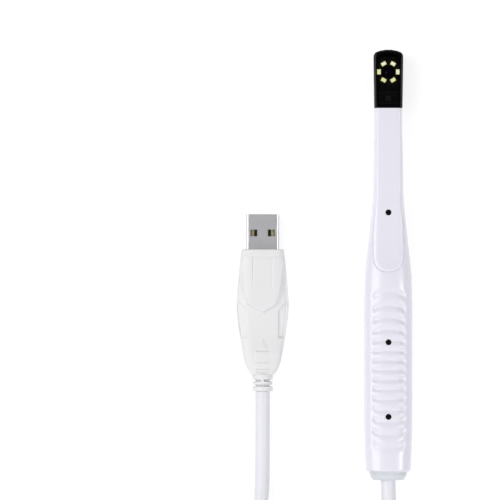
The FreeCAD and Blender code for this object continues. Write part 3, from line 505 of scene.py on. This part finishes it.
def make_strap():
    """The strap of the coil: a closed band around its turns."""
    low, high = low_high("coil_tie")
    half_width = (high[0] - low[0]) / 2
    middle_x = (high[0] + low[0]) / 2
    half_run = (high[1] - low[1]) / 2 - STRAP_THICK / 2
    half_rise = (high[2] - low[2]) / 2 - STRAP_THICK / 2
    middle = np.array([(low[1] + high[1]) / 2, (low[2] + high[2]) / 2])
    path = []
    for quarter, (side, rise) in enumerate(((1, 1), (-1, 1), (-1, -1), (1, -1))):
        for step in range(9):
            angle = math.pi / 2 * (quarter + step / 8)
            path.append(middle + (
                side * (half_run - STRAP_CORNER) + STRAP_CORNER * math.cos(angle),
                rise * (half_rise - STRAP_CORNER) + STRAP_CORNER * math.sin(angle)))
    path = np.array(path)
    normals = path - middle
    normals /= np.linalg.norm(normals, axis=1)[:, None]
    rings = []
    profile = ((-half_width, -0.5), (half_width, -0.5), (half_width, 0.5), (-half_width, 0.5))
    for spot, normal in zip(path, normals):
        for across, out in profile:
            run, rise = spot + normal * out * STRAP_THICK
            rings.append((middle_x + across, run, rise))
    count = len(path)
    rings += rings[:4]
    item = new_object("coil_strap", rings, grid_faces(count + 1, 4, closed=True), "strap_grey")
    outward(item)
    edge = item.modifiers.new("edges", "BEVEL")
    edge.width = STRAP_EDGE * MM
    edge.segments = 2
    smooth(item, angle=40)
    return settle(item, "root", ("coil_tie",))


CABLE = make_cable()
STRAP = make_strap()


# ---------------------------------------------------------------- body shells

# Along Y, half width, back, crown of the front.
BODY = (
    (56.0, 5.05, 4.1, 15.25), (48, 5.06, 3.95, 15.27), (40, 5.22, 3.6, 15.3), (32, 5.37, 3.15, 15.35),
    (25, 5.48, 2.6, 15.42), (19, 5.95, 2.05, 15.5), (13.5, 6.55, 1.5, 15.6), (7.5, 7.18, 0.9, 15.75),
    (1.5, 7.9, 0.35, 16.0), (-5, 8.43, -0.1, 16.45), (-12, 8.63, -0.35, 16.6), (-22, 8.65, -0.35, 16.6),
    (-32, 8.65, -0.35, 16.6), (-43, 8.65, -0.35, 16.6), (-54, 8.64, -0.35, 16.6), (-62, 8.5, -0.3, 16.52),
    (-68, 8.28, -0.1, 16.35), (-73.8, 8.0, 0.5, 16.05),
)
# The flat that runs from the head into the handle: along Y, height.
FLAT = (
    (-9, 19.5), (-1.9, 16.35), (1.5, 15.62), (5.5, 15.14), (12, 14.8), (20, 14.58), (32, 14.38), (44, 14.2),
    (56.0, 14.05),
)
BODY_POWER = 3.0
WALL = 1.3
SHELL_LOW, SHELL_HIGH = low_high("front_shell")
PARTING = SHELL_LOW[2]
BODY_TAIL, BODY_HEAD = SHELL_LOW[1], SHELL_HIGH[1]
TAIL_ROUND = 0.7
SPIGOT_RADIUS = 4.62
CABLE_HEIGHT = 8.4
RIB_MIDDLE, RIB_PITCH, RIB_SPREAD, RIB_BOW, RIB_REACH = -37.6, 3.45, 0.011, 0.2, 5.3
RIB_DEPTH, RIB_SHARPNESS = 0.92, 1.8
# The count of ribs each way from the middle one, and how much less deep the last is.
RIB_LAST, RIB_LAST_LESS = 7, 0.35
# Across the grip the ribs run out between RIB_ENDS, and are deepest at their shoulders.
RIB_ENDS = (5.0, 6.6)
RIB_SHOULDER, RIB_SHOULDER_WIDTH = 4.9, 1.0
RIB_MIDDLE_SHARE, RIB_SHOULDER_MORE = 0.75, 0.45
RIB_VALLEY_ROUND = 0.02
# Where the three screws are along Y.
SCREWS = (18.7, -27.6, -54.2)
# The raised tongue that the neck's flat ends in: along Y, half width.
TONGUE = ((56.0, 4.75), (30, 4.78), (18, 4.98), (5, 5.35), (-5, 5.35))
TONGUE_BEND, TONGUE_TIP, TONGUE_POWER = 3.6, -2.2, 2.4
TONGUE_ROUND, TONGUE_DROP, TONGUE_LIFT, TONGUE_GROOVE = 1.7, 0.42, 0.22, 0.34
# How much of a quarter round its edge is, and how softly that meets the crown.
TONGUE_ROUND_SHARE, TONGUE_MEETING = 0.98, 0.16
# Off the outline: the middle and width of the groove, and where the tongue's surface gives way.
TONGUE_GROOVE_AT, TONGUE_GROOVE_WIDTH = 0.12, 0.2
TONGUE_OUTLINE = (-0.06, 0.1)
# Along Y, where its lift and groove start to fade and where they are gone.
TONGUE_FADES = (14.0, 24.0)
# The step at the parting, and the gaps and heights of the cuts for screws and button.
PARTING_STEP, PARTING_WIDTH = 0.07, 0.12
SCREW_GAP, SCREW_CUT = 0.06, (12, 20)
BUTTON_GAP, BUTTON_HALF_RUN, BUTTON_CUT = 0.2, 2.7, (-2, 3.3)


def rib_depth(across, along):
    """How deep the grip is at a place: pillows between valleys, which bow more away from the middle."""
    bow = RIB_BOW * (across / RIB_REACH) ** 2
    count = (along - RIB_MIDDLE) / RIB_PITCH
    for _ in range(6):
        error = RIB_MIDDLE + RIB_PITCH * count + RIB_SPREAD * count ** 3 - bow * count - along
        count = count - error / (RIB_PITCH + 3 * RIB_SPREAD * count ** 2 - bow)
    nearest = np.clip(np.round(count), -RIB_LAST, RIB_LAST)
    share = np.clip(np.sqrt(4 * (count - nearest) ** 2 + RIB_VALLEY_ROUND), 0, 1)
    sides = np.abs(across)
    ends = 1 - eased(sides, *RIB_ENDS)
    shoulder = RIB_MIDDLE_SHARE + RIB_SHOULDER_MORE * ridge(sides, RIB_SHOULDER, RIB_SHOULDER_WIDTH)
    last = 1 - RIB_LAST_LESS * (np.abs(nearest) == RIB_LAST)
    return RIB_DEPTH * (1 - share) ** RIB_SHARPNESS * ends * shoulder * last


def front_height(across, along, crown):
    """Height of the front cover: its crown, with the tongue let into it and the ribs cut across."""
    half_width = curve_through(TONGUE, along)[..., 0]
    past = np.maximum(0.0, TONGUE_BEND - along) / (TONGUE_BEND - TONGUE_TIP)
    reach = ((np.abs(across) / half_width) ** TONGUE_POWER + past ** TONGUE_POWER) ** (1 / TONGUE_POWER)
    off = (reach - 1) * half_width
    low = 1 - eased(along, *TONGUE_FADES)
    turn = np.clip((off + TONGUE_ROUND) / TONGUE_ROUND, 0, 1)
    edge = TONGUE_DROP * (1 - np.sqrt(1 - TONGUE_ROUND_SHARE * turn ** 2))
    flat = curve_through(FLAT, along)[..., 0] - edge
    inside = softer_of(crown + TONGUE_LIFT * low, flat, TONGUE_MEETING)
    outside = crown - TONGUE_GROOVE * low * ridge(off, TONGUE_GROOVE_AT, TONGUE_GROOVE_WIDTH)
    share = eased(off, *TONGUE_OUTLINE)
    return inside * (1 - share) + outside * share - rib_depth(across, along)


def body_rows(spacing):
    """Places of the rows along Y with their inset at the rounded tail."""
    rows = [(along, 0.0) for along in np.arange(BODY_HEAD, BODY_TAIL + TAIL_ROUND, -spacing)]
    for step in range(9):
        angle = math.pi / 2 * step / 8
        rows.append((BODY_TAIL + TAIL_ROUND * (1 - math.sin(angle)), TAIL_ROUND * (1 - math.cos(angle))))
    return rows


def half_shell(name, is_front, spacing, columns):
    """One half of the body: a closed band of outer and inner surfaces that meet at the parting."""
    def row(along, half_width, back, front, power):
        middle, half = (back + front) / 2, (front - back) / 2
        rise = np.clip((PARTING - middle) / half, -0.99, 0.99)
        first = math.asin(math.copysign(abs(rise) ** (power / 2), rise))
        span = (first, math.pi - first) if is_front else (math.pi - first, 2 * math.pi + first)
        across, height = arc_section(half_width, back, front, power, *span, columns)
        return np.stack([across, np.full(columns, along), height], axis=1)

    outer, inner = [], []
    for along, inset in body_rows(spacing):
        half_width, back, front = curve_through(BODY, along)
        flat = float(curve_through(FLAT, along)[0])
        points = row(along, half_width - inset, back + inset, front - inset, BODY_POWER)
        if is_front:
            points[:, 2] = front_height(points[:, 0], points[:, 1], points[:, 2])
        else:
            points[:, 2] = np.maximum(points[:, 2], 0.0)
        edge = ridge(points[:, 2], PARTING, PARTING_WIDTH)
        points[:, 0] -= np.sign(points[:, 0]) * PARTING_STEP * edge
        outer.append(points)
        ceiling = min(front, flat) - WALL
        inner_back = max(back, 0) + WALL
        inner.append(row(max(along, BODY_TAIL + WALL), half_width - WALL - inset, inner_back + inset,
                         ceiling - inset, BODY_POWER))
    bore = (SPIGOT_RADIUS, CABLE_HEIGHT - SPIGOT_RADIUS, CABLE_HEIGHT + SPIGOT_RADIUS, 2.0)
    outer.append(row(BODY_TAIL, *bore))
    inner.append(row(BODY_TAIL + WALL, *bore))
    rows = len(outer)
    total = rows * columns
    faces = grid_faces(rows, columns) + grid_faces(rows, columns, start=total, flip=True)
    for column in (0, columns - 1):
        for number in range(rows - 1):
            here, there = number * columns + column, (number + 1) * columns + column
            faces.append((here, there, there + total, here + total))
    for number in (0, rows - 1):
        for column in range(columns - 1):
            here = number * columns + column
            faces.append((here, here + 1, here + 1 + total, here + total))
    points = np.concatenate([np.concatenate(outer), np.concatenate(inner)])
    return outward(new_object(name, points, faces, "white_plastic"))


def rod(name, radius, base, top, across, along, segments=48):
    """A closed upright cylinder, for cutting."""
    angles = np.linspace(0, 2 * math.pi, segments, endpoint=False)
    ring = np.stack([across + radius * np.cos(angles), along + radius * np.sin(angles)], axis=1)
    points = [(*spot, height) for height in (base, top) for spot in ring]
    faces = grid_faces(2, segments, closed=True)
    faces += [list(range(segments))[::-1], list(range(segments, 2 * segments))]
    return outward(new_object(name, points, faces, "white_plastic"))


def stadium(name, half_width, half_run, along, base, top, segments=24):
    """A closed upright block with round ends, for cutting."""
    ring = []
    for side in (1, -1):
        for step in range(segments + 1):
            angle = math.pi * step / segments + (0 if side > 0 else math.pi)
            place = along + side * half_run + half_width * math.sin(angle)
            ring.append((half_width * math.cos(angle), place))
    count = len(ring)
    points = [(*spot, height) for height in (base, top) for spot in ring]
    faces = grid_faces(2, count, closed=True)
    faces += [list(range(count))[::-1], list(range(count, 2 * count))]
    return outward(new_object(name, points, faces, "white_plastic"))


def make_body():
    front = half_shell("front_cover", is_front=True, spacing=0.3, columns=97)
    screw_low, screw_high = low_high("case_screws")
    radius = (screw_high[0] - screw_low[0]) / 2 + SCREW_GAP
    carve(front, [rod(f"hole_{place}", radius, *SCREW_CUT, 0, place) for place in SCREWS])
    smooth(front)
    settle(front, "root", ("front_shell",))
    rear = half_shell("back_cover", is_front=False, spacing=0.6, columns=73)
    low, high = low_high("button_cap")
    half_width = (high[0] - low[0]) / 2 + BUTTON_GAP
    middle = (low[1] + high[1]) / 2
    carve(rear, [stadium("button_hole", half_width, BUTTON_HALF_RUN, middle, *BUTTON_CUT)])
    smooth(rear)
    settle(rear, "root", ("rear_shell",))


make_body()


# ---------------------------------------------------------------- plug

PLUG_ACROSS = sum(corner[0] for corner in low_high("plug_shell")) / 2
PLUG_HEIGHT = 4.35
# Along Y, half width, back, front.
COVER = (
    (5.6, 7.55, 0.6, 8.1), (2, 8.05, 0.4, 8.3), (-5, 8.68, 0.1, 8.55), (-11, 9.18, 0.04, 8.62),
    (-15.2, 9.35, 0.03, 8.65), (-20, 8.95, 0.04, 8.6), (-25, 8.22, 0.07, 8.52), (-30, 7.42, 0.12, 8.45),
    (-34.0, 6.65, 0.2, 8.4), (-36.9, 5.75, 0.3, 8.36), (-39.4, 4.15, 0.6, 8.1),
)
COVER_POWER = 4.2
COVER_ROUND = 0.45
# How high up the side, as a share of half the thickness, the relief comes in.
COVER_FACE = (0.45, 0.8)
SEAM_STEP, SEAM_WIDTH = 0.06, 0.1
POCKET_GAP = 0.06
# Half of each raised outline, mirrored: across, along.
SHIELD = (
    (7.3, 7.0), (7.5, 0.0), (6.6, -4.4), (5.9, -8.8), (5.1, -12.1), (4.9, -13.9), (3.1, -15.1), (0.3, -16.6),
)
WAIST = ((9.9, 12.0), (9.9, -12.2), (7.5, -13.8), (5.5, -16.5), (5.45, -25.6), (5.2, -31.0))
RECESS = ((3.65, 2.95), (3.65, -9.5))
WEDGE = ((0.15, -25.8), (2.3, -30.6))
STRIP_HALF = 2.6
# Depths of the reliefs under the crown, and heights of those that stand on it.
SHIELD_DROP, SHIELD_GROOVE = 1.15, 0.38
STEP_LEFT, STEP_RIGHT = 0.3, 0.62
RECESS_DROP, RECESS_RIM = 0.25, 0.22
COLLAR_RISE, WEDGE_RISE, STRIP_RISE, STRIP_LINE_DROP = 0.1, 0.3, 0.1, 0.34
STRIP_LINES, STRIP_LINE_WIDTH = (-30.8, -34.9, -37.4, -38.3, -39.0), 0.19
# Off the outline, where each relief starts and where it is full: the shield's and the step's
# outwards, the recess's and the wedge's inwards. The shield's bevel narrows towards the cable.
SHIELD_START, SHIELD_BEVEL, SHIELD_BEVEL_LESS = -0.15, 1.8, 0.8
STEP_BEVEL, RECESS_BEVEL, WEDGE_BEVEL = (-0.1, 0.65), (-0.05, 0.4), (-0.1, 1.0)
STRIP_SIDE = 0.35
# The middle and width of the grooves that follow an outline.
SHIELD_GROOVE_AT, SHIELD_GROOVE_WIDTH = 0.5, 0.3
RECESS_RIM_AT, RECESS_RIM_WIDTH = -0.2, 0.22
# Along -Y, where each relief comes in or runs out.
SHIELD_FADES, SHIELD_FADE_SHARE = (24.0, 33.0), 0.7
BEVEL_NARROWS, GROOVE_STARTS = (12.0, 15.0), (11.0, 13.0)
STEP_STARTS, STEP_ENDS = (11.0, 13.5), (25.3, 26.6)
RECESS_ENDS, STRIP_STARTS = (4.0, 9.5), (30.7, 31.2)
# Along Y, where the collar at the shell's end begins, and the fine groove beside it.
COLLAR_LINE, COLLAR_STARTS, COLLAR_LINE_WIDTH = 3.15, (3.15, 3.4), 0.2


def mirrored(half):
    return list(half) + [(-across, along) for across, along in reversed(half)]


def off_outline(across, along, corners):
    """Distance to a closed outline, negative inside it."""
    nearest = np.full(np.shape(across), 1e9)
    inside = np.zeros(np.shape(across), bool)
    for (x0, y0), (x1, y1) in zip(corners, corners[1:] + corners[:1]):
        run_x, run_y = x1 - x0, y1 - y0
        length = run_x ** 2 + run_y ** 2
        share = np.clip(((across - x0) * run_x + (along - y0) * run_y) / length, 0, 1)
        nearest = np.minimum(nearest, np.hypot(across - x0 - share * run_x, along - y0 - share * run_y))
        if y0 != y1:
            crosses = ((y0 > along) != (y1 > along)) & (across < run_x * (along - y0) / run_y + x0)
            inside ^= crosses
    return np.where(inside, -nearest, nearest)


def plug_relief(across, along):
    """How far the face of the plug cover lies under its crown: a shield, a waist, and a grip strip."""
    shield = off_outline(across, along, mirrored(SHIELD))
    waist = off_outline(across, along, mirrored(WAIST))
    recess = off_outline(across, along, mirrored(RECESS))
    wedge = off_outline(across, along, mirrored(WEDGE))
    tail = eased(-along, *SHIELD_FADES)
    bevel = SHIELD_BEVEL - SHIELD_BEVEL_LESS * eased(-along, *BEVEL_NARROWS)
    drop = SHIELD_DROP * eased(shield, SHIELD_START, bevel) * (1 - SHIELD_FADE_SHARE * tail)
    groove = ridge(shield, SHIELD_GROOVE_AT, SHIELD_GROOVE_WIDTH)
    drop += SHIELD_GROOVE * groove * eased(-along, *GROOVE_STARTS)
    lower = eased(-along, *STEP_STARTS) * (1 - eased(-along, *STEP_ENDS))
    step = np.where(across < 0, STEP_LEFT, STEP_RIGHT)
    drop += step * eased(waist, *STEP_BEVEL) * lower
    rim = ridge(recess, RECESS_RIM_AT, RECESS_RIM_WIDTH)
    upper = 1 - eased(-along, *RECESS_ENDS)
    drop += (RECESS_DROP * eased(-recess, *RECESS_BEVEL) + RECESS_RIM * rim) * upper
    drop -= COLLAR_RISE * eased(along, *COLLAR_STARTS)
    drop += COLLAR_RISE * ridge(along, COLLAR_LINE, COLLAR_LINE_WIDTH)
    drop -= WEDGE_RISE * eased(-wedge, *WEDGE_BEVEL)
    strip = 1 - eased(np.abs(across), STRIP_HALF - STRIP_SIDE, STRIP_HALF)
    drop -= STRIP_RISE * strip * eased(-along, *STRIP_STARTS)
    for line in STRIP_LINES:
        drop += STRIP_LINE_DROP * strip * ridge(along, line, STRIP_LINE_WIDTH)
    return drop


def skin(name, rings, material):
    """A closed body through rings of points, with flat ends."""
    rings = np.asarray(rings)
    rows, columns = rings.shape[:2]
    faces = grid_faces(rows, columns, closed=True)
    faces += [list(range(columns))[::-1], list(range((rows - 1) * columns, rows * columns))]
    return outward(new_object(name, rings.reshape(-1, 3), faces, material))


def rounded_rows(start, end, spacing, radius, steps=6):
    """Places from start down to end with the inset of a rounding at both ends."""
    rows = []
    for step in range(steps):
        angle = math.pi / 2 * step / steps
        rows.append((start - radius * (1 - math.cos(angle)), radius * (1 - math.sin(angle))))
    rows += [(along, 0.0) for along in np.arange(start - radius, end + radius, -spacing)]
    for step in range(steps + 1):
        angle = math.pi / 2 * step / steps
        rows.append((end + radius * (1 - math.sin(angle)), radius * (1 - math.cos(angle))))
    return rows


def make_plug_cover():
    columns = 240
    low, high = low_high("plug_cover")
    rings = []
    for along, inset in rounded_rows(high[1], low[1], spacing=0.2, radius=COVER_ROUND):
        half_width, back, front = curve_through(COVER, along)
        across, height = arc_section(half_width - inset, back + inset, front - inset, COVER_POWER,
                                     0, 2 * math.pi, columns + 1)
        across, height = across[:-1], height[:-1]
        middle = (front + back) / 2
        faces_front = eased((height - middle) / (front - middle), *COVER_FACE)
        faces_back = eased((middle - height) / (front - middle), *COVER_FACE)
        relief = plug_relief(across, np.full(columns, along))
        height = height - relief * faces_front + np.maximum(relief, 0) * faces_back
        # The seam between the two moulded halves.
        across = across - np.sign(across) * SEAM_STEP * ridge(height, PLUG_HEIGHT, SEAM_WIDTH)
        rings.append(np.stack([PLUG_ACROSS + across, np.full(columns, along), height], axis=1))
    cover = skin("plug_grip", rings, "plug_white")
    shell_low, shell_high = low_high("plug_shell")
    half_width = (shell_high[0] - shell_low[0]) / 2 + POCKET_GAP
    half_thick = (shell_high[2] - shell_low[2]) / 2 + POCKET_GAP
    pocket = [
        [(PLUG_ACROSS + side * half_width, along, PLUG_HEIGHT + rise * half_thick)
         for side, rise in ((1, 1), (-1, 1), (-1, -1), (1, -1))]
        for along in (high[1] + 1, shell_low[1] - 0.05)
    ]
    carve(cover, [skin("shell_pocket", pocket, "plug_white")])
    smooth(cover, angle=38)
    return settle(cover, "root", ("plug_cover",))


# Back from the plug cover: the middle and width of the slots, the ring groove and the waist.
BOOT_SLOT, BOOT_SLOT_WIDTH = 2.0, 0.32
BOOT_RING, BOOT_RING_WIDTH = 3.8, 0.28
BOOT_WAIST, BOOT_WAIST_WIDTH, BOOT_WAIST_DEPTH = 2.9, 0.5, 0.12
BOOT_CUT_DEPTH, BOOT_CUT_POWER = 1.3, 6
# From the middle, where the bar between the slots ends and where they have their full depth.
BOOT_BAR = (0.45, 0.8)
BOOT_OVERLAP, BOOT_ROUND = 0.3, 0.3


def make_plug_boot():
    """The short ribbed sleeve behind the plug: a slot on each side, then a groove all round."""
    columns = 96
    low, high = low_high("plug_boot")
    radius = (high[0] - low[0]) / 2
    angles = np.linspace(0, 2 * math.pi, columns, endpoint=False)
    rings = []
    for along, inset in rounded_rows(high[1] + BOOT_OVERLAP, low[1], spacing=0.07, radius=BOOT_ROUND):
        back_from = high[1] - along
        bar = eased(np.abs(radius * np.cos(angles)), *BOOT_BAR)
        slot = ridge(back_from, BOOT_SLOT, BOOT_SLOT_WIDTH, BOOT_CUT_POWER) * bar
        ring = ridge(back_from, BOOT_RING, BOOT_RING_WIDTH, BOOT_CUT_POWER)
        waist = BOOT_WAIST_DEPTH * ridge(back_from, BOOT_WAIST, BOOT_WAIST_WIDTH)
        reach = radius - inset - waist - BOOT_CUT_DEPTH * np.maximum(slot, ring)
        rings.append(np.stack([PLUG_ACROSS + reach * np.cos(angles), np.full(columns, along),
                               PLUG_HEIGHT + reach * np.sin(angles)], axis=1))
    boot = skin("plug_sleeve", rings, "plug_white")
    smooth(boot, angle=38)
    return settle(boot, "root", ("plug_boot",))


# ---------------------------------------------------------------- tail of the handpiece

# Share of the cap's length, share of the way from its wide to its narrow outline.
CAP_LINE = ((0.0, 0.0), (0.3, 0.1), (0.6, 0.38), (0.85, 0.72), (1.0, 1.0))
CAP_WIDE, CAP_NARROW = (6.85, 6.3), (5.35, 4.9)
CAP_POWER = 2.6
# A fine groove round it, as shares of its length, and its depth.
CAP_GROOVE, CAP_GROOVE_WIDTH, CAP_GROOVE_DEPTH = 0.27, 0.045, 0.22
CAP_BORE = 3.62
CAP_OVERLAP, CAP_ROUND = 0.3, 0.3


def make_end_cap():
    columns = 128
    low, high = low_high("end_cap")
    start = BODY_TAIL
    rings = []
    for along, inset in rounded_rows(start + CAP_OVERLAP, low[1], spacing=0.06, radius=CAP_ROUND):
        share = np.clip((start - along) / (start - low[1]), 0, 1)
        narrowing = float(curve_through(CAP_LINE, share)[0])
        half_width, half_thick = (
            wide + narrowing * (narrow - wide) - inset for wide, narrow in zip(CAP_WIDE, CAP_NARROW))
        groove = CAP_GROOVE_DEPTH * ridge(share, CAP_GROOVE, CAP_GROOVE_WIDTH)
        back = CABLE_HEIGHT - half_thick + groove
        front = CABLE_HEIGHT + half_thick - groove
        across, height = arc_section(half_width - groove, back, front, CAP_POWER,
                                     0, 2 * math.pi, columns + 1)
        rings.append(np.stack([across[:-1], np.full(columns, along), height[:-1]], axis=1))
    # Its grey finish is partly painted shade for the dimmer light on this end.
    cap = skin("tail_cap", rings, "cap_grey")
    angles = np.linspace(0, 2 * math.pi, 64, endpoint=False)
    bore = [
        np.stack([CAP_BORE * np.cos(angles), np.full(64, along), CABLE_HEIGHT + CAP_BORE * np.sin(angles)],
                 axis=1)
        for along in (start + 3, low[1] - 2)
    ]
    carve(cap, [skin("cap_bore", bore, "cap_grey")])
    smooth(cap, angle=38)
    return settle(cap, "root", ("end_cap",))


PLUG_COVER = make_plug_cover()
PLUG_BOOT = make_plug_boot()
make_end_cap()
